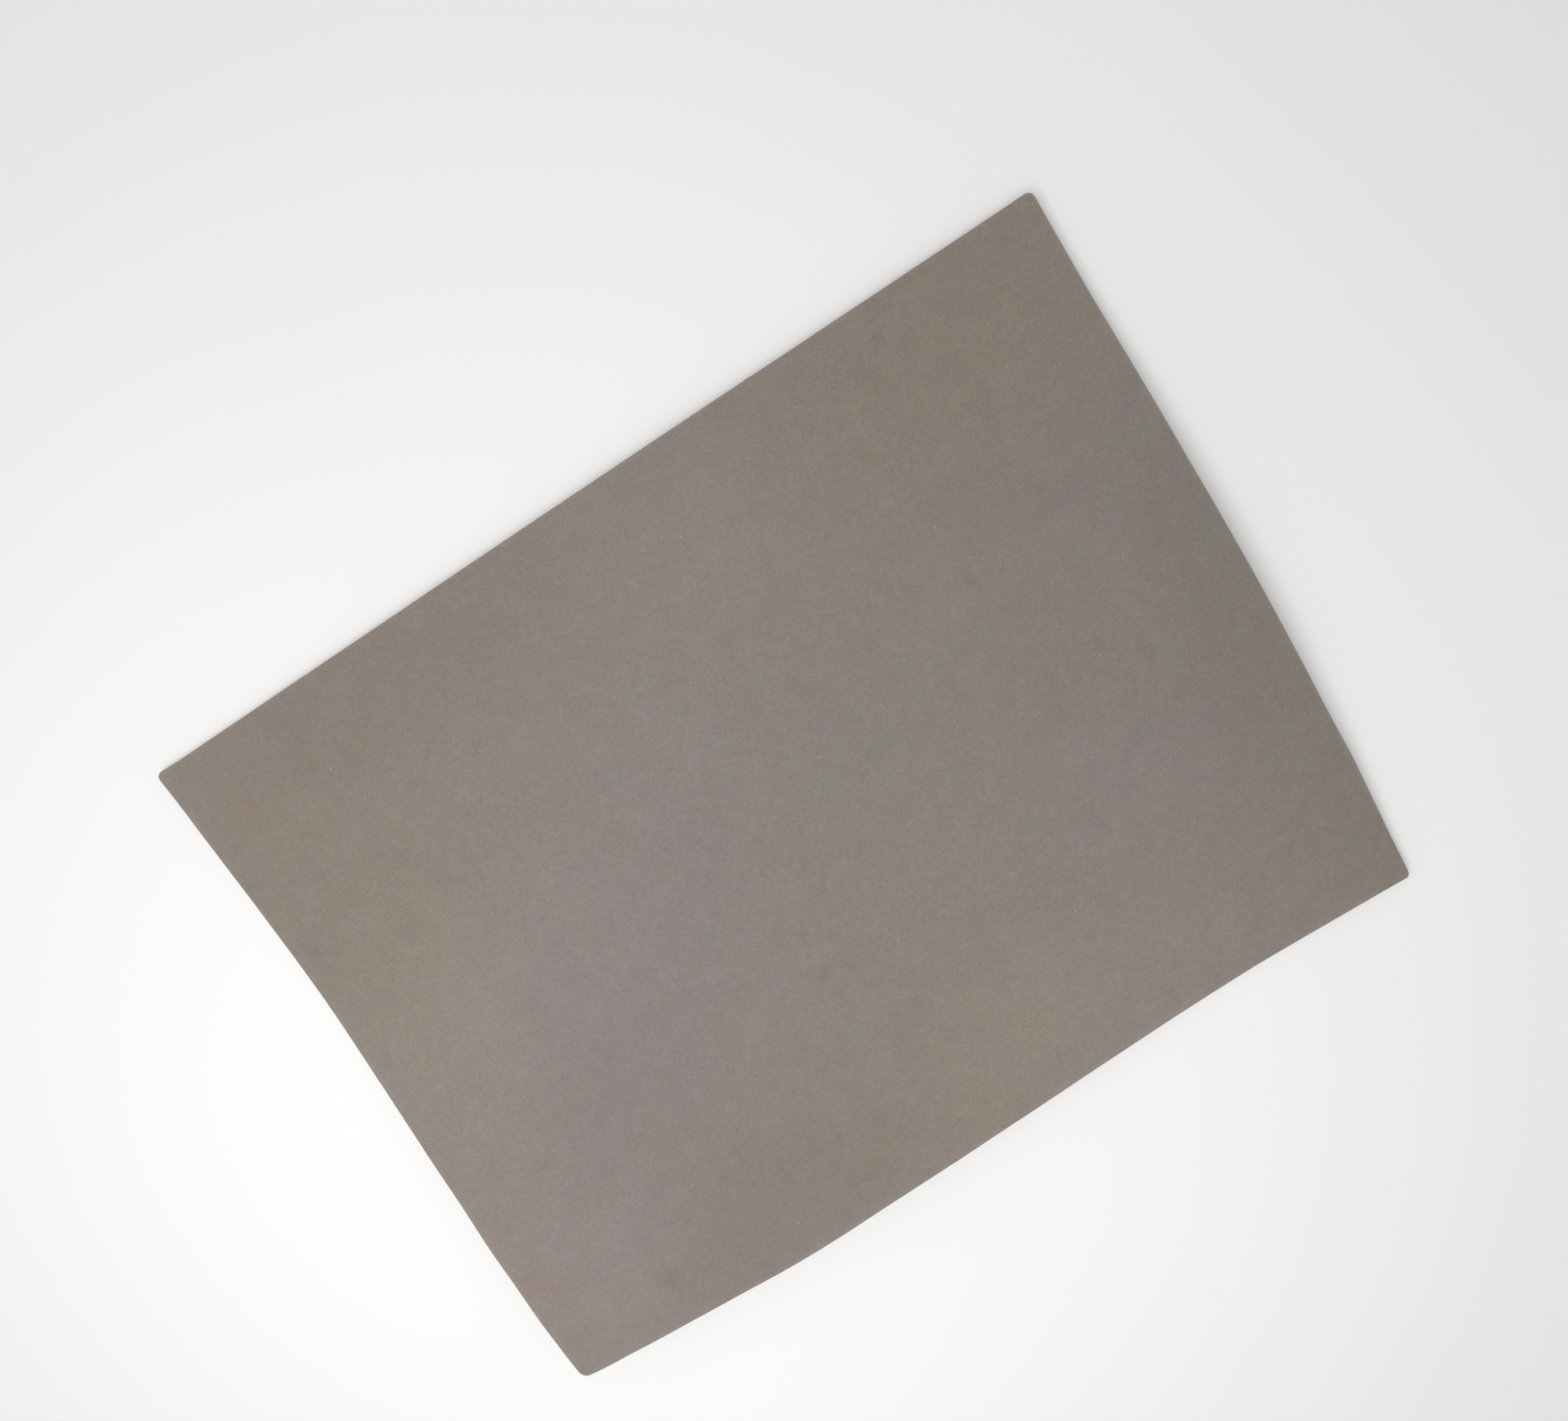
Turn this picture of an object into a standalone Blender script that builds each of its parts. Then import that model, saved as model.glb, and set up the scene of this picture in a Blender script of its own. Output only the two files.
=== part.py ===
# Craft foam sheet: one rectangle of soft closed-cell foam, cut from a wider sheet and lying on a level floor.
# Its middle lies flat, and each edge stands a little off the floor in one long, shallow wave.
# Metres, +Z up. The origin is on the floor under the middle of the sheet. X runs along the long edges,
# the front edge is at -Y, the back edge at +Y, the left edge at -X and the right edge at +X.

import bmesh
import bpy

# Cut size: twelve inches by nine, and two millimetres thick
LENGTH = 0.3048
WIDTH = 0.2286
THICKNESS = 0.002

# The blunted corners, each as worn or cut
FRONT_LEFT_RADIUS = 0.0038
FRONT_RIGHT_RADIUS = 0.0019
BACK_LEFT_RADIUS = 0.0016
BACK_RIGHT_RADIUS = 0.0028
CORNER_SEGMENTS = 4

# The middle of the sheet that lies flat on the floor
FLAT_LENGTH = 0.090
FLAT_WIDTH = 0.066

# Front edge: how high it stands, where along X it is highest, and how far its wave spreads to each side
FRONT_LIFT = 0.0145
FRONT_CREST_X = -0.071
FRONT_SPREAD = 0.198

# Back edge
BACK_LIFT = 0.003
BACK_CREST_X = 0.022
BACK_SPREAD = 0.275

# Left edge, measured along Y
LEFT_LIFT = 0.0065
LEFT_CREST_Y = -0.051
LEFT_SPREAD = 0.092

# Right edge, measured along Y
RIGHT_LIFT = 0.0075
RIGHT_CREST_Y = -0.007
RIGHT_SPREAD = 0.149

# Size of the grid's cells, which is how finely the waves are bent
CELL = 0.0095

# Foam: a dull greyish taupe
FOAM_COLOUR = (0.258, 0.223, 0.198, 1.0)
FOAM_ROUGHNESS = 0.82

OBJECT_NAME = "foam_sheet"
COLLECTION_NAME = "craft_foam_sheet"


def clear_scene():
    for obj in list(bpy.data.objects):
        bpy.data.objects.remove(obj, do_unlink=True)


def new_collection(name):
    collection = bpy.data.collections.new(name)
    bpy.context.scene.collection.children.link(collection)
    return collection


def foam_material():
    material = bpy.data.materials.new("foam")
    material.use_nodes = True
    shader = material.node_tree.nodes["Principled BSDF"]
    shader.inputs["Base Color"].default_value = FOAM_COLOUR
    shader.inputs["Roughness"].default_value = FOAM_ROUGHNESS
    shader.inputs["Metallic"].default_value = 0.0
    material.diffuse_color = FOAM_COLOUR
    return material


def edge_waves():
    """Each wave: its crest on the edge, its reach along X and along Y, and its height."""
    reach_in_x = (LENGTH - FLAT_LENGTH) / 2
    reach_in_y = (WIDTH - FLAT_WIDTH) / 2
    return [
        (FRONT_CREST_X, -WIDTH / 2, FRONT_SPREAD, reach_in_y, FRONT_LIFT),
        (BACK_CREST_X, WIDTH / 2, BACK_SPREAD, reach_in_y, BACK_LIFT),
        (-LENGTH / 2, LEFT_CREST_Y, reach_in_x, LEFT_SPREAD, LEFT_LIFT),
        (LENGTH / 2, RIGHT_CREST_Y, reach_in_x, RIGHT_SPREAD, RIGHT_LIFT),
    ]


def height_at(x, y):
    """Height of the underside off the floor: each wave dies away smoothly before it reaches the flat middle."""
    height = 0.0
    for crest_x, crest_y, reach_x, reach_y, lift in edge_waves():
        distance_squared = ((x - crest_x) / reach_x) ** 2 + ((y - crest_y) / reach_y) ** 2
        if distance_squared < 1.0:
            height += lift * (1.0 - distance_squared) ** 3
    return height


def blunt_corner(blank, side_x, side_y, radius):
    """Rounds the corner that lies towards side_x along X and side_y along Y."""
    corner = max(blank.verts, key=lambda vert: vert.co.x * side_x + vert.co.y * side_y)
    bmesh.ops.bevel(
        blank,
        geom=[corner],
        affect="VERTICES",
        offset=radius,
        segments=CORNER_SEGMENTS,
        profile=0.5,
    )


def flat_blank():
    """The cut outline as a flat grid, with its four corners blunted."""
    blank = bmesh.new()
    bmesh.ops.create_grid(
        blank,
        x_segments=round(LENGTH / CELL),
        y_segments=round(WIDTH / CELL),
        size=0.5,
    )
    bmesh.ops.scale(blank, vec=(LENGTH, WIDTH, 1.0), verts=blank.verts)
    blunt_corner(blank, -1, -1, FRONT_LEFT_RADIUS)
    blunt_corner(blank, 1, -1, FRONT_RIGHT_RADIUS)
    blunt_corner(blank, -1, 1, BACK_LEFT_RADIUS)
    blunt_corner(blank, 1, 1, BACK_RIGHT_RADIUS)
    return blank


def foam_sheet(collection):
    blank = flat_blank()
    for vert in blank.verts:
        vert.co.z = height_at(vert.co.x, vert.co.y)
    mesh = bpy.data.meshes.new(OBJECT_NAME)
    blank.to_mesh(mesh)
    blank.free()
    mesh.materials.append(foam_material())
    mesh.shade_smooth()
    sheet = bpy.data.objects.new(OBJECT_NAME, mesh)
    collection.objects.link(sheet)
    thickness = sheet.modifiers.new("Thickness", "SOLIDIFY")
    thickness.thickness = THICKNESS
    thickness.offset = 1.0
    thickness.use_even_offset = True
    return sheet


clear_scene()
foam_sheet(new_collection(COLLECTION_NAME))
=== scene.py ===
import math

import bpy
import numpy as np
from mathutils import Euler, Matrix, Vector, noise
from mathutils.bvhtree import BVHTree


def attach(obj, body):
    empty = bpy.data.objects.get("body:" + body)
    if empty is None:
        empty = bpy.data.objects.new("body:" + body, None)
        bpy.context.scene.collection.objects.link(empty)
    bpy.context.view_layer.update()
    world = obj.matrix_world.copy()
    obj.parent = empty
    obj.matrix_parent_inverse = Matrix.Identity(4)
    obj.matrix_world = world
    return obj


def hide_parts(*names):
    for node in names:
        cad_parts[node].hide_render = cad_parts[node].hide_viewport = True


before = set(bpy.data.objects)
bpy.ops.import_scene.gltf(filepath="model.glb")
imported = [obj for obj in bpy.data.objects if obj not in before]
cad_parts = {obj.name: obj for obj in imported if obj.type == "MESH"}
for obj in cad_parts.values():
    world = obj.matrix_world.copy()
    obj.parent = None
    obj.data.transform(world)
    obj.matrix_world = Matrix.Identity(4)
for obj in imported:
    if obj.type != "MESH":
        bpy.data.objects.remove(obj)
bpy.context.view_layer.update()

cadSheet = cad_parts["foam_sheet"]


# the view that the picture was taken from
cameraView = {
    "place": (0.0438, 0.0322, 0.2837),
    "turnDegrees": (-8.029, -0.350, -32.237),
    "lens": 21.62,
    "sensorWidth": 36.0,
    "shift": (-0.0503, 0.0503),  # the picture was cropped a little off its middle
    "nearest": 0.01,
}


def makeCamera():
    data = bpy.data.cameras.new("sheetCamera")
    data.lens = cameraView["lens"]
    data.sensor_width = cameraView["sensorWidth"]
    data.shift_x, data.shift_y = cameraView["shift"]
    data.clip_start = cameraView["nearest"]
    camera = bpy.data.objects.new("sheetCamera", data)
    camera.location = cameraView["place"]
    camera.rotation_euler = Euler([math.radians(turn) for turn in cameraView["turnDegrees"]])
    bpy.context.scene.collection.objects.link(camera)
    bpy.context.scene.camera = camera


makeCamera()
print("camera placed")


foamSheet = {
    "cut": (0.3048, 0.2286),  # twelve inches by nine
    "thickness": 0.002,
    "cell": 0.00142,  # mesh spacing over the middle
    # mesh spacing from each cut edge inwards
    "rimSteps": (
        0.00030, 0.00032, 0.00036, 0.00042, 0.00050, 0.00060, 0.00072, 0.00088, 0.00105, 0.00125,
    ),
    "frameGrid": (32, 24),  # spans of the frame's own mesh, in x and y
    "probeInsets": (0.0003, 0.0008, 0.0015),  # its underside is read this far inside its edges
    "probeDepth": 0.05,  # and from this far below
    # each corner by its side in x and y: radius, then how far the two edges draw in towards it
    "corners": {
        (-1, -1): (0.0027, (0.00042, 0.00028)),
        (1, -1): (0.0017, (0.00055, -0.00015)),
        (-1, 1): (0.0021, (-0.00030, -0.00030)),
        (1, 1): (0.0021, (0.0, 0.0)),
    },
    "drawInReach": 0.012,  # how far from its corner an edge starts to draw in
    "arris": 0.00020,  # how far the cut edges are softened
    "arrisSteps": 3,
    "arrisAngle": 50,  # edges sharper than this, in degrees, are softened
    "knifeDrift": 0.00007,  # how far the cut wanders from straight
    "driftWaves": (55, 240),  # long and short wanders, in waves to the metre
    "shortDrift": 0.5,  # how strong the short ones are beside the long ones
    "driftSeeds": (3.1, 8.7),  # for the two ends and the two long edges
    "cutDepth": 0.004,  # nothing that lies further in moves with the cut
    "swell": 0.00009,  # broad unevenness of the top skin
    "swellLength": 0.034,
    "swellSeed": 0.4,
    "ripple": 0.00003,
    "rippleLength": 0.011,
    "rippleSeed": 0.9,
    "markReach": 3,  # how far a pressed mark is felt, in sizes of the mark
    "markLip": 0.35,  # height of the low lip round each mark, as a share of its depth
    "topFacing": 0.3,  # faces that point up more than this belong to the top skin
    "shadeWeight": 80,
    # long, low bulges and hollows of the cut: edge, middle, half length, how far it stands out
    "cutBulges": [
        ("front", -0.068, 0.020, 0.00045),
        ("front", 0.049, 0.040, 0.00038),
        ("front", -0.1435, 0.008, 0.00034),
        ("left", 0.009, 0.022, 0.00055),
        ("left", -0.0625, 0.0155, 0.00072),
        ("left", -0.1035, 0.011, -0.00036),
        ("right", 0.057, 0.020, 0.00025),
        ("right", -0.071, 0.010, 0.00030),
        ("right", -0.104, 0.011, -0.00042),
    ],
    # finger and packing marks: x, y, half length, half width, turn in degrees, depth, how much
    # darker the colour is in and round it
    "pressMarks": [
        (-0.1083, -0.0986, 0.0056, 0.0036, -50, 0.00014, 0.70),
        (-0.0165, -0.0449, 0.0036, 0.0024, 28, 0.00018, 0.95),
        (-0.0110, -0.0445, 0.0034, 0.0017, -34, 0.00014, 0.65),
        (-0.0078, -0.0505, 0.0046, 0.0015, -78, 0.00012, 0.55),
        (-0.0157, -0.0304, 0.0027, 0.0019, -20, 0.00012, 0.80),
        (0.0215, -0.0296, 0.0022, 0.0016, 35, 0.00010, 0.35),
        (0.0585, -0.0784, 0.0018, 0.0015, 0, 0.00014, 0.75),
        (0.0140, 0.0575, 0.0032, 0.0022, -58, 0.00012, 0.30),
        (0.0250, 0.0312, 0.0066, 0.0022, -71, 0.00014, 0.64),
        (0.0305, 0.0090, 0.0085, 0.0012, -78, 0.00008, 0.22),
        (0.0841, 0.0340, 0.0058, 0.0016, 88, 0.00010, 0.54),
        (0.1114, 0.0680, 0.0052, 0.0017, -75, 0.00010, 0.46),
        (0.1131, 0.0441, 0.0015, 0.0013, 0, 0.00010, 0.64),
        (0.0895, 0.0942, 0.0062, 0.0030, -63, 0.00012, 0.46),
        (0.1160, -0.0100, 0.0090, 0.0017, -88, 0.00008, 0.68),
        (0.0962, 0.1036, 0.0017, 0.0014, 0, 0.00010, 0.62),
        (-0.0885, 0.0719, 0.0022, 0.0015, 60, 0.00008, 0.50),
        (-0.1057, 0.0549, 0.0024, 0.0015, 40, 0.00008, 0.50),
        (-0.0940, -0.0862, 0.0052, 0.0010, -70, 0.00014, 0.34),
        (-0.1226, -0.0482, 0.0034, 0.0028, 15, 0.00008, 0.28),
        (-0.1460, 0.0449, 0.0016, 0.0015, 0, 0.00016, 0.85),
    ],
}


def gradedLine(length, cell, rimSteps):
    # places from one cut edge to the other, close together beside both edges
    rim = np.cumsum((0.0,) + tuple(rimSteps))
    middle = np.linspace(rim[-1], length - rim[-1], round((length - 2 * rim[-1]) / cell) + 1)
    return np.concatenate([rim[:-1], middle, length - rim[:-1][::-1]]) - length / 2


def roundCorner(x, y, side, radius, half):
    # draws the square corner of the grid in to its arc, ring by ring
    fromX, fromY = half[0] - side[0] * x, half[1] - side[1] * y
    ring = min(fromX, fromY)
    arc = radius - ring
    along = max(fromX, fromY) - ring
    if arc <= 0 or along >= arc:
        return x, y
    turn = math.pi / 4 * (1 - along / arc)
    near, far = radius - arc * math.cos(turn), radius - arc * math.sin(turn)
    fromX, fromY = (near, far) if fromX < fromY else (far, near)
    return side[0] * (half[0] - fromX), side[1] * (half[1] - fromY)


def cutLine(x, y, half):
    # moves the points beside the edges from the straight cut to the real one
    look = foamSheet
    corner = (1 if x > 0 else -1, 1 if y > 0 else -1)
    drawIn = look["corners"][corner][1]
    ends = (0, x, y, ("left", "right"), look["driftSeeds"][0])
    longEdges = (1, y, x, ("front", "back"), look["driftSeeds"][1])
    longWave, shortWave = look["driftWaves"]
    moved = []
    for axis, own, other, edges, seed in (ends, longEdges):
        fade = 1 - (half[axis] - abs(own)) / look["cutDepth"]
        if fade <= 0:
            moved.append(own)
            continue
        side = corner[axis]
        wander = noise.noise(Vector((other * longWave, seed + side, 0)))
        wander += look["shortDrift"] * noise.noise(Vector((other * shortWave, seed, side)))
        outward = look["knifeDrift"] * wander
        fromCorner = half[1 - axis] - abs(other)
        outward -= drawIn[axis] * max(0.0, 1 - fromCorner / look["drawInReach"]) ** 2
        for edge, middle, spread, height in look["cutBulges"]:
            if edge == edges[side > 0]:
                outward += height * math.exp(-((other - middle) / spread) ** 2)
        moved.append(own + side * fade * outward)
    return moved


def readUnderside(half):
    # heights of the frame's underside at its own grid
    cells = foamSheet["frameGrid"]
    tree = BVHTree.FromObject(cadSheet, bpy.context.evaluated_depsgraph_get())
    heights = np.zeros((cells[0] + 1, cells[1] + 1))
    for i in range(cells[0] + 1):
        for j in range(cells[1] + 1):
            x, y = (2 * i / cells[0] - 1) * half[0], (2 * j / cells[1] - 1) * half[1]
            for inset in foamSheet["probeInsets"]:  # the blunted corners lie further in
                start = Vector((
                    max(inset - half[0], min(half[0] - inset, x)),
                    max(inset - half[1], min(half[1] - inset, y)),
                    -foamSheet["probeDepth"],
                ))
                hit = tree.ray_cast(start, Vector((0, 0, 1)))[0]
                if hit:
                    heights[i, j] = hit.z
                    break
    return heights


def smoothHeights(heights, x, y, half):
    # heights between the grid's points, along smooth curves through them
    border = np.pad(heights, 1, mode="reflect", reflect_type="odd")

    def weights(at, reach, count):
        place = np.clip((at / reach + 1) / 2 * count, 0, count - 1e-9)
        first = place.astype(int)
        t = place - first
        return first, (
            (-t + 2 * t ** 2 - t ** 3) / 2,
            (2 - 5 * t ** 2 + 3 * t ** 3) / 2,
            (t + 4 * t ** 2 - 3 * t ** 3) / 2,
            (t ** 3 - t ** 2) / 2,
        )

    column, acrossX = weights(x, half[0], heights.shape[0] - 1)
    row, acrossY = weights(y, half[1], heights.shape[1] - 1)
    result = np.zeros(len(x))
    for a in range(4):
        for b in range(4):
            result += acrossX[a] * acrossY[b] * border[column + a, row + b]
    return np.maximum(result, 0.0)


def topRelief(x, y):
    # swell, ripple and the pressed marks, as a height on the top skin
    look = foamSheet
    swellPlace = Vector((x, y, look["swellSeed"])) / look["swellLength"]
    ripplePlace = Vector((x, y, look["rippleSeed"])) / look["rippleLength"]
    height = look["swell"] * noise.noise(swellPlace) + look["ripple"] * noise.noise(ripplePlace)
    for markX, markY, long, wide, turn, depth, markDarkness in look["pressMarks"]:
        c, s = math.cos(math.radians(turn)), math.sin(math.radians(turn))
        dx, dy = x - markX, y - markY
        u, v = (dx * c + dy * s) / long, (dy * c - dx * s) / wide
        away = u * u + v * v
        if away < look["markReach"] ** 2:
            height -= depth * math.exp(-away) * (1 - look["markLip"] * away)
    return height


def makeFoamSheet(skinMaterial, rimMaterial):
    look = foamSheet
    half = (look["cut"][0] / 2, look["cut"][1] / 2)
    xs = gradedLine(look["cut"][0], look["cell"], look["rimSteps"])
    ys = gradedLine(look["cut"][1], look["cell"], look["rimSteps"])
    plan = []
    for y in ys:
        for x in xs:
            side = (1 if x > 0 else -1, 1 if y > 0 else -1)
            rounded = roundCorner(x, y, side, look["corners"][side][0], half)
            plan.append(cutLine(*rounded, half))
    plan = np.array(plan)
    z = smoothHeights(readUnderside(half), plan[:, 0], plan[:, 1], half)

    wide = len(xs)
    faces = [
        (j * wide + i, j * wide + i + 1, (j + 1) * wide + i + 1, (j + 1) * wide + i)
        for j in range(len(ys) - 1)
        for i in range(wide - 1)
    ]
    mesh = bpy.data.meshes.new("craftFoamSheet")
    mesh.from_pydata(np.column_stack([plan, z]).tolist(), [], faces)
    mesh.materials.append(skinMaterial)
    mesh.materials.append(rimMaterial)
    sheet = bpy.data.objects.new("craftFoamSheet", mesh)
    bpy.context.scene.collection.objects.link(sheet)

    solid = sheet.modifiers.new("stockThickness", "SOLIDIFY")
    solid.thickness = look["thickness"]
    solid.offset = 1.0
    solid.use_even_offset = True
    solid.material_offset_rim = 1
    arris = sheet.modifiers.new("softArris", "BEVEL")
    arris.width = look["arris"]
    arris.segments = look["arrisSteps"]
    arris.limit_method = "ANGLE"
    arris.angle_limit = math.radians(look["arrisAngle"])
    arris.material = 1

    bpy.context.view_layer.update()
    finished = sheet.evaluated_get(bpy.context.evaluated_depsgraph_get())
    solidMesh = bpy.data.meshes.new_from_object(finished)
    sheet.modifiers.clear()
    sheet.data = solidMesh
    bpy.data.meshes.remove(mesh)
    solidMesh.name = "craftFoamSheet"

    # press the relief into the top skin
    places = np.zeros(len(solidMesh.vertices) * 3)
    facing = np.zeros(len(solidMesh.vertices) * 3)
    solidMesh.vertices.foreach_get("co", places)
    solidMesh.vertices.foreach_get("normal", facing)
    places, upward = places.reshape(-1, 3), facing.reshape(-1, 3)[:, 2]
    for index in np.flatnonzero(upward > look["topFacing"]):
        x, y = places[index, :2]
        places[index, 2] += topRelief(x, y) * upward[index]
    solidMesh.vertices.foreach_set("co", places.ravel())
    solidMesh.update()
    solidMesh.shade_smooth()
    evenShade = sheet.modifiers.new("evenShade", "WEIGHTED_NORMAL")
    evenShade.weight = look["shadeWeight"]
    triangles = sum(len(polygon.vertices) - 2 for polygon in solidMesh.polygons)
    print("foam sheet made,", triangles, "triangles")
    return sheet


noiseSpan = (0.3, 0.7)  # nearly all of a noise's values lie between these
noiseDetail = 3  # finer octaves, where a noise has no number of its own
patchFade = 0.75  # share of a soft patch's radius over which it fades

# noise of every size is alike round its own start, so each fine one starts well off the sheet
fineNoise = {
    "below": 0.012,
    # in x, y and z: start, and step for each size
    "starts": ((0.90, 97.0), (1.70, 59.0), (0.0, 0.0)),
}

foamSkin = {
    "colour": (0.258, 0.223, 0.198),
    "roughness": (0.78, 0.90),
    "layerRoughness": 1.0,  # the finer octaves of the layers are as strong as the coarse ones
    # size, finer octaves, strength
    "grainLayers": ((0.0100, 2, 0.030), (0.0016, 1, 0.042), (0.00060, 0, 0.056)),
    # size, strength
    "fleckLayers": ((0.0300, 0.018), (0.0140, 0.056), (0.0055, 0.076), (0.0017, 0.066)),
    "blueLayers": ((0.0280, 0.012), (0.0130, 0.018), (0.0045, 0.028), (0.0018, 0.018)),
    "layerDetail": 1,  # finer octaves of the fleck and blue layers
    "driftSize": 0.060,
    "driftSpan": (0.35, 0.65),
    "coolDrift": (0.992, 1.0, 1.012),
    "warmDrift": (1.008, 1.0, 0.990),
    "cellSize": 0.00048,
    "cellSmoothness": 0.6,
    "cellBorder": (0.05, 0.55),
    "cellShade": (0.965, 1.012),  # in the middle of a cell, and at its border; the darker middle is painted shade in each pit
    "cellDepth": 0.00006,
    "cellRelief": 0.8,
    "grainHeight": 0.8,  # beside that of the cells
    "leatherSize": 0.0021,
    "leatherRoughness": 0.55,
    "leatherDepth": 0.00009,
    "leatherRelief": 0.7,
    "rubSize": 0.028,  # where hands have rubbed the skin smoother
    "rubDetail": 4,
    "rubRoughness": 0.55,
    "grainRoughness": 0.03,
    "dirtTint": (0.905, 0.910, 0.900),  # darker colour in and round the pressed marks
    "dirtSpread": 1.5,  # how far the darker colour reaches, in sizes of its mark
    "dustSpacing": 0.021,
    "dustShare": 0.18,  # how many of the places hold a speck
    "dustEdge": (0.008, 0.016),  # where a speck starts and ends to fade, in spacings
    "dustCover": 0.5,
    "dustColour": (0.50, 0.46, 0.42),
    "wearColour": (0.44, 0.40, 0.37),  # rubbed skin beside the cut edges, and the lighter band along the left and front edges
    "wearWidth": 0.0011,
    "wearAmount": 0.10,
    "fraySize": 0.0065,  # the worn edge is uneven
    "frayRoughness": 0.6,
    "fray": (-0.0009, 0.0006),
    "handledWidth": 0.0052,  # lighter along the left and front edges
    "handledAmount": 0.055,
    "tintWander": 0.022,  # how far the borders of the tints stray
    "tintWanderSize": 0.045,
    # soft tints, partly uneven colour and partly painted shade and light, darker towards the right
    # edge and lighter in patches at the left and front: x, y, half length, half width, turn in
    # degrees, tint
    "tints": [
        (-0.066, -0.012, 0.105, 0.050, 50, (0.990, 0.980, 1.050)),
        (-0.132, 0.058, 0.072, 0.054, 85, (1.005, 1.000, 0.940)),
        (-0.008, -0.102, 0.090, 0.050, 0, (1.025, 1.010, 0.960)),
        (0.154, -0.030, 0.120, 0.046, 88, (0.915, 0.942, 0.898)),
        (0.118, 0.000, 0.105, 0.058, 88, (0.950, 0.952, 0.965)),
        (0.104, 0.090, 0.080, 0.065, 15, (0.990, 0.978, 0.925)),
        (0.040, 0.004, 0.100, 0.065, 30, (0.970, 0.995, 0.990)),
        (-0.068, -0.104, 0.070, 0.036, 5, (0.925, 0.925, 0.925)),
        (0.052, -0.098, 0.075, 0.042, -10, (1.070, 1.075, 1.070)),
        (-0.130, -0.002, 0.060, 0.045, 80, (1.060, 1.055, 1.050)),
        (-0.088, 0.006, 0.060, 0.045, 20, (1.040, 1.040, 1.040)),
        (-0.080, 0.102, 0.085, 0.034, 0, (0.970, 0.950, 0.930)),
        (0.014, 0.086, 0.045, 0.035, 20, (1.030, 1.025, 1.035)),
        (-0.134, -0.078, 0.055, 0.060, 0, (1.050, 1.022, 1.070)),
        (0.094, -0.044, 0.040, 0.028, 0, (0.990, 1.000, 1.030)),
        (0.148, -0.104, 0.035, 0.030, 0, (1.000, 0.990, 0.950)),
        (-0.030, 0.045, 0.055, 0.038, -25, (1.000, 1.022, 1.014)),
        (-0.150, -0.078, 0.045, 0.014, 90, (1.030, 1.005, 0.960)),
    ],
    "shine": {
        "IOR": 1.48,
        "Specular IOR Level": 0.32,
        "Sheen Weight": 0.10,
        "Sheen Roughness": 0.55,
        "Sheen Tint": (0.95, 0.90, 0.86, 1.0),
    },
}

cutEdge = {
    "colour": (0.275, 0.240, 0.214),
    # colour of the open cells, painted shade in their cups
    "pitColour": (0.150, 0.128, 0.112),
    # size, then how open the least and the most open cells are
    "cellLayers": ((0.00022, 0.20, 0.75), (0.00048, -0.45, 0.55)),
    "cellBorder": (0.12, 0.50),
    "cellDepth": 0.00006,
    "crookedSize": 0.00035,  # the cells are a little out of shape
    "crooked": 0.00012,
    "streakLength": 0.0045,
    "streakWidth": 0.00022,
    "streakRoughness": 0.6,
    "streakTone": (0.92, 1.08),
    "streakHeight": 0.5,  # beside the depth of the cells
    "relief": 0.8,
    "roughness": (0.86, 0.97),
    "shine": {
        "IOR": 1.48,
        "Specular IOR Level": 0.25,
        "Sheen Weight": 0.08,
        "Sheen Roughness": 0.6,
    },
}

# where the Mix node keeps its colours
mixFactor, mixFirst, mixSecond, mixResult = 0, 6, 7, 2


def newMaterial(name):
    material = bpy.data.materials.new(name)
    material.use_nodes = True
    tree = material.node_tree
    shader = tree.nodes["Principled BSDF"]
    return material, tree, shader


def setShine(shader, shine):
    for socket, value in shine.items():
        shader.inputs[socket].default_value = value


def addNode(tree, kind, settings=None, **inputs):
    # inputs are named as in the node, with no blanks, or in0, in1 and so on by their place
    # a value is either a number or another node's socket
    node = tree.nodes.new(kind)
    for key, value in (settings or {}).items():
        setattr(node, key, value)
    enabled = [socket for socket in node.inputs if socket.enabled]
    sockets = {socket.name.replace(" ", ""): socket for socket in reversed(enabled)}
    for key, value in inputs.items():
        numbered = key.startswith("in") and key[2:].isdigit()
        socket = node.inputs[int(key[2:])] if numbered else sockets[key]
        if isinstance(value, bpy.types.NodeSocket):
            tree.links.new(value, socket)
        else:
            socket.default_value = value
    return node


def mathNode(tree, operation, first, second=0.0):
    node = addNode(tree, "ShaderNodeMath", {"operation": operation}, in0=first, in1=second)
    return node.outputs[0]


def noiseNode(tree, coords, size, detail=noiseDetail, roughness=0.5):
    if size < fineNoise["below"]:
        away = [start + step * size for start, step in fineNoise["starts"]]
        moved = addNode(tree, "ShaderNodeVectorMath", {"operation": "ADD"}, in0=coords, in1=away)
        coords = moved.outputs[0]
    node = addNode(
        tree, "ShaderNodeTexNoise", None,
        Vector=coords, Scale=1 / size, Detail=detail, Roughness=roughness,
    )
    return node.outputs["Fac"], node.outputs["Color"]


def rangeNode(tree, value, fromLow, fromHigh, toLow, toHigh, smooth=False):
    node = addNode(
        tree, "ShaderNodeMapRange", {"interpolation_type": "SMOOTHSTEP" if smooth else "LINEAR"},
        Value=value, FromMin=fromLow, FromMax=fromHigh, ToMin=toLow, ToMax=toHigh,
    )
    return node.outputs["Result"]


def noiseRange(tree, value, low, high):
    return rangeNode(tree, value, *noiseSpan, low, high)


def blendNode(tree, way, amount, first, second):
    node = tree.nodes.new("ShaderNodeMix")
    node.data_type = "RGBA"
    node.blend_type = way
    for index, value in ((mixFactor, amount), (mixFirst, first), (mixSecond, second)):
        if isinstance(value, bpy.types.NodeSocket):
            tree.links.new(value, node.inputs[index])
        else:
            node.inputs[index].default_value = value if index == mixFactor else (*value, 1.0)
    return node.outputs[mixResult]


def greyLevel(tree, value):
    node = addNode(tree, "ShaderNodeCombineColor", None, Red=value, Green=value, Blue=value)
    return node.outputs["Color"]


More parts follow.
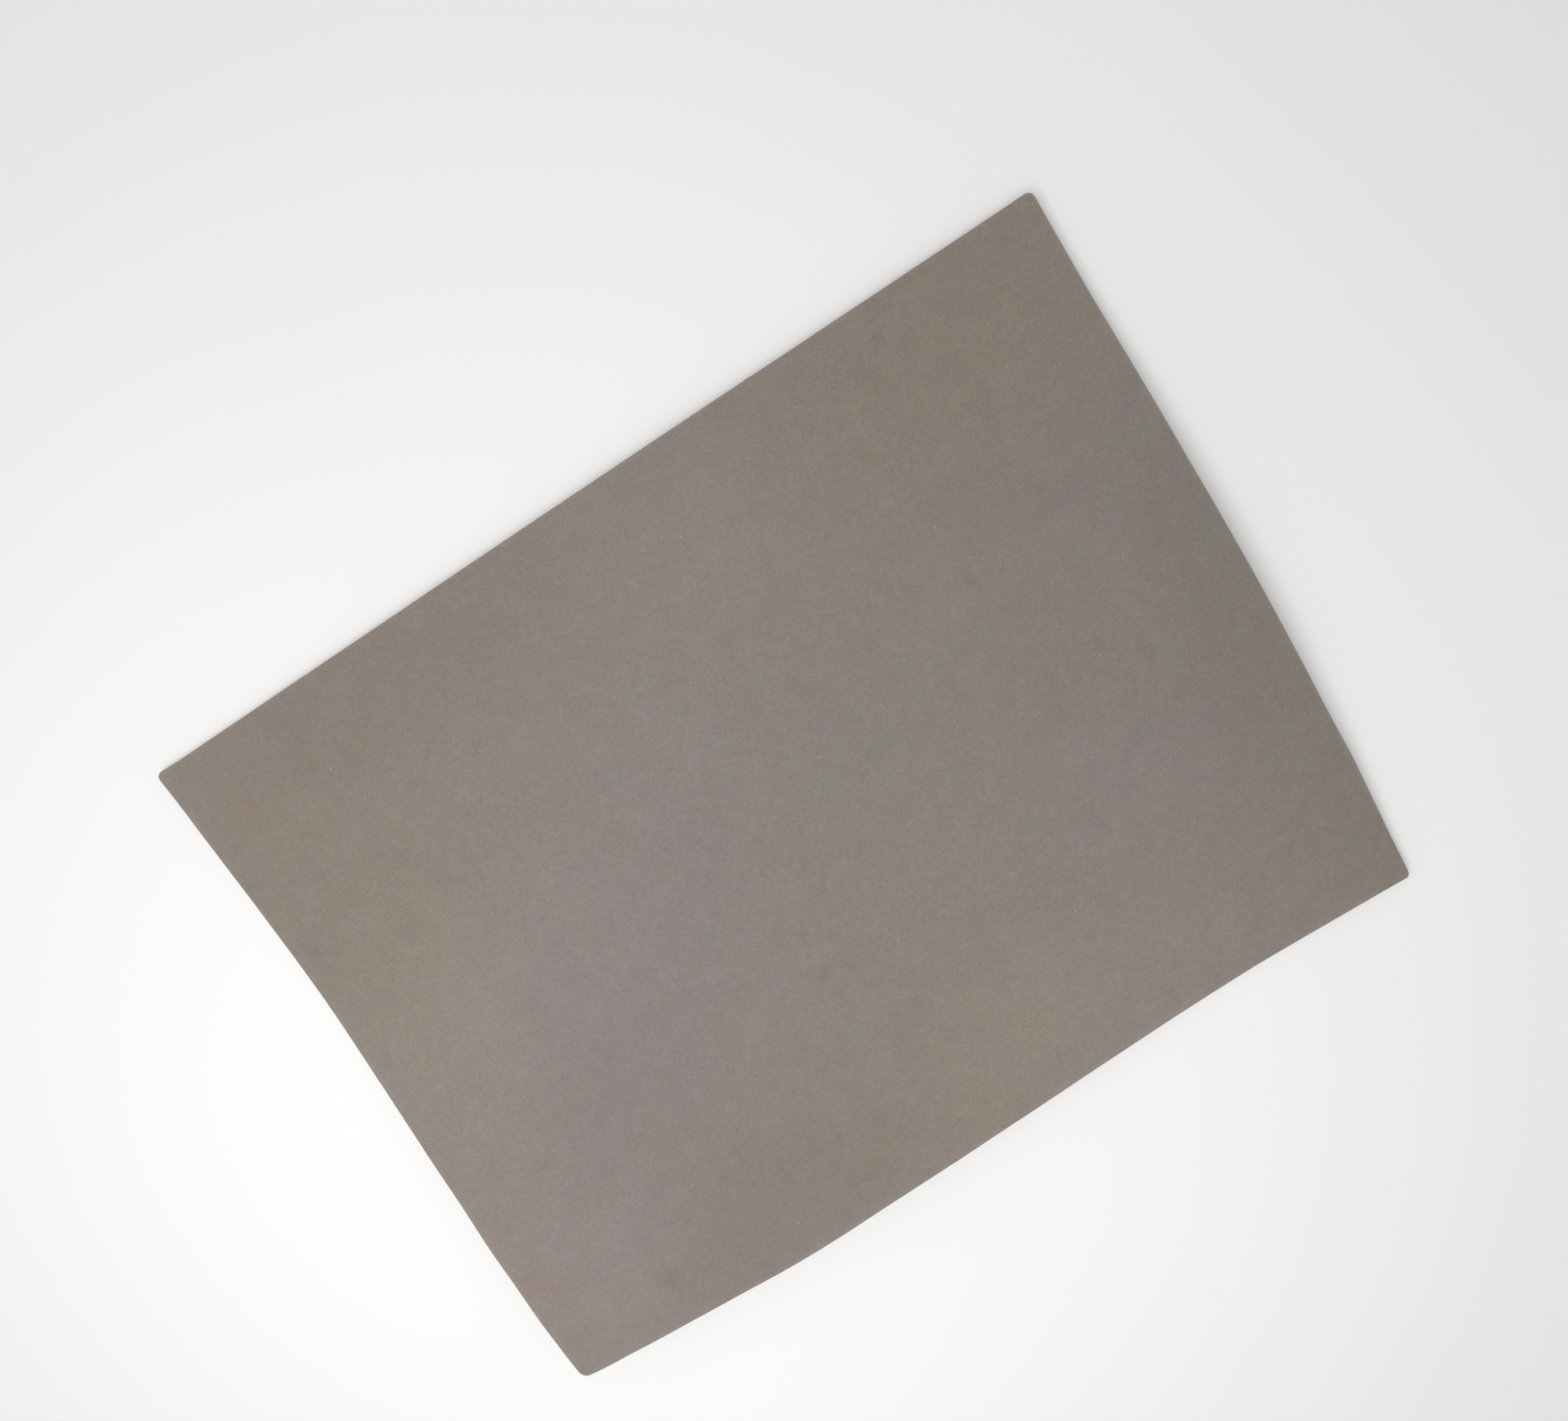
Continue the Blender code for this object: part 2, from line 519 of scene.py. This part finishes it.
def softPatch(tree, coords, x, y, long, wide, turn):
    # 1 in the middle of an ellipse on the sheet, fading to 0 at its border
    placed = addNode(
        tree, "ShaderNodeMapping", {"vector_type": "TEXTURE"}, Vector=coords, Location=(x, y, 0),
        Rotation=(0, 0, math.radians(turn)), Scale=(long, wide, 1.0),
    )
    ball = addNode(
        tree, "ShaderNodeTexGradient", {"gradient_type": "SPHERICAL"}, Vector=placed.outputs[0],
    )
    return rangeNode(tree, ball.outputs["Fac"], 0.0, patchFade, 0.0, 1.0, smooth=True)


def makeFoamSkin():
    look = foamSkin
    material, tree, shader = newMaterial("craftFoamSkin")
    coords = addNode(tree, "ShaderNodeTexCoord").outputs["Object"]

    # tints with wandering borders: partly uneven colour, partly painted shade and light, darker
    # towards the right edge and lighter at the left and front
    wander = noiseNode(tree, coords, look["tintWanderSize"])[1]
    stray = look["tintWander"]
    straying = addNode(
        tree, "ShaderNodeVectorMath", {"operation": "MULTIPLY_ADD"},
        in0=wander, in1=(stray, stray, 0.0), in2=coords,
    ).outputs[0]
    centred = addNode(
        tree, "ShaderNodeVectorMath", {"operation": "SUBTRACT"},
        in0=straying, in1=(stray / 2, stray / 2, 0.0),
    ).outputs[0]
    colour = addNode(tree, "ShaderNodeRGB").outputs[0]
    colour.default_value = (*look["colour"], 1.0)
    for x, y, long, wide, turn, tint in look["tints"]:
        patch = softPatch(tree, centred, x, y, long, wide, turn)
        colour = blendNode(tree, "MULTIPLY", patch, colour, tint)

    # slow drift between a warmer and a cooler dye
    drift = noiseNode(tree, coords, look["driftSize"])[0]
    drift = rangeNode(tree, drift, *look["driftSpan"], 0.0, 1.0, smooth=True)
    driftTint = blendNode(tree, "MIX", drift, look["coolDrift"], look["warmDrift"])
    colour = blendNode(tree, "MULTIPLY", 1.0, colour, driftTint)

    # mottle, grain and pores, from coarse to fine
    level = 1.0
    for size, detail, amount in look["grainLayers"]:
        layer = noiseNode(tree, coords, size, detail, look["layerRoughness"])[0]
        level = mathNode(tree, "MULTIPLY", level, noiseRange(tree, layer, 1 - amount, 1 + amount))
    grain = layer  # the finest of them is used again below
    colour = blendNode(tree, "MULTIPLY", 1.0, colour, greyLevel(tree, level))
    for size, amount in look["fleckLayers"]:
        fleck = noiseNode(tree, coords, size, look["layerDetail"], look["layerRoughness"])[1]
        flecked = blendNode(tree, "MIX", amount, (1.0, 1.0, 1.0), fleck)
        colour = blendNode(tree, "MULTIPLY", 1.0, colour, flecked)
        colour = blendNode(tree, "MULTIPLY", 1.0, colour, (1 + amount / 2,) * 3)
    for size, amount in look["blueLayers"]:
        layer = noiseNode(tree, coords, size, look["layerDetail"], look["layerRoughness"])[0]
        bluer = noiseRange(tree, layer, 1 - amount, 1 + amount)
        bluerTint = addNode(tree, "ShaderNodeCombineColor", None, Red=1.0, Green=1.0, Blue=bluer)
        colour = blendNode(tree, "MULTIPLY", 1.0, colour, bluerTint.outputs["Color"])

    # closed cells under the skin
    cells = addNode(
        tree, "ShaderNodeTexVoronoi", {"feature": "SMOOTH_F1", "voronoi_dimensions": "2D"},
        Vector=coords, Scale=1 / look["cellSize"], Smoothness=look["cellSmoothness"],
    ).outputs["Distance"]
    # painted shade: the colour is darker in the middle of each cell, where the bump below sinks
    # into a pit
    paintedPitShade = rangeNode(tree, cells, *look["cellBorder"], *look["cellShade"])
    colour = blendNode(tree, "MULTIPLY", 1.0, colour, greyLevel(tree, paintedPitShade))

    # darker colour in and round the pressed marks
    spread = look["dirtSpread"]
    for markX, markY, long, wide, turn, depth, markDarkness in foamSheet["pressMarks"]:
        place = softPatch(tree, coords, markX, markY, long * spread, wide * spread, turn)
        markDarkened = mathNode(tree, "MULTIPLY", place, markDarkness)
        colour = blendNode(tree, "MULTIPLY", markDarkened, colour, look["dirtTint"])

    # a few dust specks
    dust = addNode(
        tree, "ShaderNodeTexVoronoi", {"voronoi_dimensions": "2D"},
        Vector=coords, Scale=1 / look["dustSpacing"],
    )
    nearSpeck = rangeNode(tree, dust.outputs["Distance"], *look["dustEdge"], 1.0, 0.0)
    chance = addNode(tree, "ShaderNodeSeparateColor", None, Color=dust.outputs["Color"]).outputs[0]
    chosen = mathNode(tree, "GREATER_THAN", chance, 1 - look["dustShare"])
    speck = mathNode(tree, "MULTIPLY", nearSpeck, chosen)
    speck = mathNode(tree, "MULTIPLY", speck, look["dustCover"])
    colour = blendNode(tree, "MIX", speck, colour, look["dustColour"])

    # rubbed skin beside the cut edges
    split = addNode(tree, "ShaderNodeSeparateXYZ", None, Vector=coords)
    fromEdge = []
    for output, length in zip(("X", "Y"), foamSheet["cut"]):
        fromMiddle = mathNode(tree, "ABSOLUTE", split.outputs[output])
        fromEdge.append(mathNode(tree, "SUBTRACT", length / 2, fromMiddle))
    fromEdge = mathNode(tree, "MINIMUM", *fromEdge)
    frayed = noiseNode(tree, coords, look["fraySize"], roughness=look["frayRoughness"])[0]
    frayed = noiseRange(tree, frayed, *look["fray"])
    wearPlace = mathNode(tree, "ADD", fromEdge, frayed)
    wear = rangeNode(tree, wearPlace, 0.0, look["wearWidth"], 1.0, 0.0, smooth=True)
    wear = mathNode(tree, "MULTIPLY", wear, look["wearAmount"])
    colour = blendNode(tree, "MIX", wear, colour, look["wearColour"])
    # lighter along the left and front edges
    fromLeft = mathNode(tree, "ADD", split.outputs["X"], foamSheet["cut"][0] / 2)
    fromFront = mathNode(tree, "ADD", split.outputs["Y"], foamSheet["cut"][1] / 2)
    leftFrontPlace = mathNode(tree, "ADD", mathNode(tree, "MINIMUM", fromLeft, fromFront), frayed)
    leftFrontLighter = rangeNode(tree, leftFrontPlace, 0.0, look["handledWidth"], look["handledAmount"], 0.0)
    colour = blendNode(tree, "MIX", leftFrontLighter, colour, look["wearColour"])
    tree.links.new(colour, shader.inputs["Base Color"])

    # roughness: matte, a little smoother where hands have rubbed it
    rub = noiseNode(tree, coords, look["rubSize"], look["rubDetail"], look["rubRoughness"])[0]
    rough = noiseRange(tree, rub, *look["roughness"])
    rougher = noiseRange(tree, grain, -look["grainRoughness"], look["grainRoughness"])
    rough = mathNode(tree, "ADD", rough, rougher)
    tree.links.new(rough, shader.inputs["Roughness"])

    # relief: leathery skin first, then the cells on it
    leather = noiseNode(tree, coords, look["leatherSize"], roughness=look["leatherRoughness"])[0]
    skinBump = addNode(
        tree, "ShaderNodeBump", None,
        Strength=look["leatherRelief"], Distance=look["leatherDepth"], Height=leather,
    )
    grainRise = mathNode(tree, "MULTIPLY", grain, look["grainHeight"])
    cellBump = addNode(
        tree, "ShaderNodeBump", None,
        Strength=look["cellRelief"], Distance=look["cellDepth"],
        Height=mathNode(tree, "ADD", cells, grainRise), Normal=skinBump.outputs["Normal"],
    )
    tree.links.new(cellBump.outputs["Normal"], shader.inputs["Normal"])

    setShine(shader, look["shine"])
    material.diffuse_color = (*look["colour"], 1.0)
    return material


def makeCutEdge():
    look = cutEdge
    material, tree, shader = newMaterial("craftFoamCutEdge")
    coords = addNode(tree, "ShaderNodeTexCoord").outputs["Object"]

    # opened cells
    uneven = noiseNode(tree, coords, look["crookedSize"])[1]
    crooked = addNode(
        tree, "ShaderNodeVectorMath", {"operation": "MULTIPLY_ADD"},
        in0=uneven, in1=(look["crooked"],) * 3, in2=coords,
    ).outputs[0]
    pits = 0.0
    for size, shut, wideOpen in look["cellLayers"]:
        cells = addNode(tree, "ShaderNodeTexVoronoi", None, Vector=crooked, Scale=1 / size)
        cup = rangeNode(tree, cells.outputs["Distance"], *look["cellBorder"], 1.0, 0.0, smooth=True)
        chance = addNode(tree, "ShaderNodeSeparateColor", None, Color=cells.outputs["Color"])
        openness = rangeNode(tree, chance.outputs[0], 0.0, 1.0, shut, wideOpen)
        openness = mathNode(tree, "MAXIMUM", openness, 0.0)
        pits = mathNode(tree, "MAXIMUM", pits, mathNode(tree, "MULTIPLY", cup, openness))

    # streaks that the blade left along the cut
    along = 1 / look["streakLength"]
    across = 1 / look["streakWidth"]
    stretched = addNode(
        tree, "ShaderNodeMapping", None, Vector=coords, Scale=(along, along, across),
    ).outputs[0]
    streaks = noiseNode(tree, stretched, 1.0, roughness=look["streakRoughness"])[0]
    tone = noiseRange(tree, streaks, *look["streakTone"])
    colour = blendNode(tree, "MULTIPLY", 1.0, look["colour"], greyLevel(tree, tone))
    # painted shade: the open cells are darkened towards a dark colour, where the bump sinks into
    # them
    colour = blendNode(tree, "MIX", pits, colour, look["pitColour"])
    tree.links.new(colour, shader.inputs["Base Color"])
    tree.links.new(noiseRange(tree, streaks, *look["roughness"]), shader.inputs["Roughness"])

    ridges = mathNode(tree, "MULTIPLY", streaks, look["streakHeight"])
    height = mathNode(tree, "SUBTRACT", ridges, pits)
    bump = addNode(
        tree, "ShaderNodeBump", None,
        Strength=look["relief"], Distance=look["cellDepth"], Height=height,
    )
    tree.links.new(bump.outputs["Normal"], shader.inputs["Normal"])
    setShine(shader, look["shine"])
    material.diffuse_color = (*look["colour"], 1.0)
    return material


sheet = makeFoamSheet(makeFoamSkin(), makeCutEdge())
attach(sheet, "root")
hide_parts("foam_sheet")
print("foam sheet dressed")


studio = {
    "floorColour": (0.97, 0.97, 0.967),
    "floorTone": (0.99, 1.01),
    "floorToneSize": 0.35,
    "floorShine": {"Roughness": 0.85, "Specular IOR Level": 0.2},
    "floorSize": 12.0,
    "floorDrop": 0.0001,  # just under the sheet, so that the two faces don't share a plane
    "skyHorizon": (0.55, 0.55, 0.547),
    "skyTop": (0.45, 0.45, 0.45),
    "skyRise": 0.45,  # how high the pale horizon reaches
    "overhead": {
        "place": (0, 0, 2),
        "colour": (1.0, 1.0, 1.0),
        "strength": 0.46,
        "spreadDegrees": 100,
        "tiltDegrees": (8, -10, 0),
    },
    "softLight": {
        "place": (-0.14, -0.04, 0.43),
        "colour": (1.0, 0.992, 0.980),
        "size": 0.30,
        "power": 0.98,
    },
}


def makeFloor():
    mesh = bpy.data.meshes.new("paleFloor")
    reach = studio["floorSize"] / 2
    level = -studio["floorDrop"]
    corners = [(-reach, -reach), (reach, -reach), (reach, reach), (-reach, reach)]
    mesh.from_pydata([(*corner, level) for corner in corners], [], [(0, 1, 2, 3)])
    material, tree, shader = newMaterial("paleFloor")
    coords = addNode(tree, "ShaderNodeTexCoord").outputs["Object"]
    tone = noiseNode(tree, coords, studio["floorToneSize"])[0]
    tone = noiseRange(tree, tone, *studio["floorTone"])
    colour = blendNode(tree, "MULTIPLY", 1.0, studio["floorColour"], greyLevel(tree, tone))
    tree.links.new(colour, shader.inputs["Base Color"])
    setShine(shader, studio["floorShine"])
    mesh.materials.append(material)
    floor = bpy.data.objects.new("paleFloor", mesh)
    bpy.context.scene.collection.objects.link(floor)


def addLight(name, kind, place, colour):
    data = bpy.data.lights.new(name, kind)
    data.color = colour
    light = bpy.data.objects.new(name, data)
    light.location = place
    light.visible_camera = False
    bpy.context.scene.collection.objects.link(light)
    return light, data


def makeLights():
    soft = studio["softLight"]
    light, data = addLight("softLight", "AREA", soft["place"], soft["colour"])
    data.shape = "SQUARE"
    data.size = soft["size"]
    data.energy = soft["power"]
    light.rotation_euler = Vector(soft["place"]).to_track_quat("Z", "Y").to_euler()

    overhead = studio["overhead"]
    light, data = addLight("overhead", "SUN", overhead["place"], overhead["colour"])
    data.energy = overhead["strength"]
    data.angle = math.radians(overhead["spreadDegrees"])
    light.rotation_euler = [math.radians(tilt) for tilt in overhead["tiltDegrees"]]


def makeSky():
    # pale at the horizon, darker overhead
    world = bpy.data.worlds.new("paleSky")
    world.use_nodes = True
    tree = world.node_tree
    direction = addNode(tree, "ShaderNodeTexCoord").outputs["Generated"]
    rise = addNode(tree, "ShaderNodeSeparateXYZ", None, Vector=direction)
    upward = rangeNode(tree, rise.outputs["Z"], 0.0, studio["skyRise"], 0.0, 1.0, smooth=True)
    colour = blendNode(tree, "MIX", upward, studio["skyHorizon"], studio["skyTop"])
    tree.links.new(colour, tree.nodes["Background"].inputs["Color"])
    bpy.context.scene.world = world


makeFloor()
makeLights()
makeSky()
bpy.context.scene.view_settings.view_transform = "Standard"
bpy.context.scene.view_settings.look = "None"
print("floor and light placed")
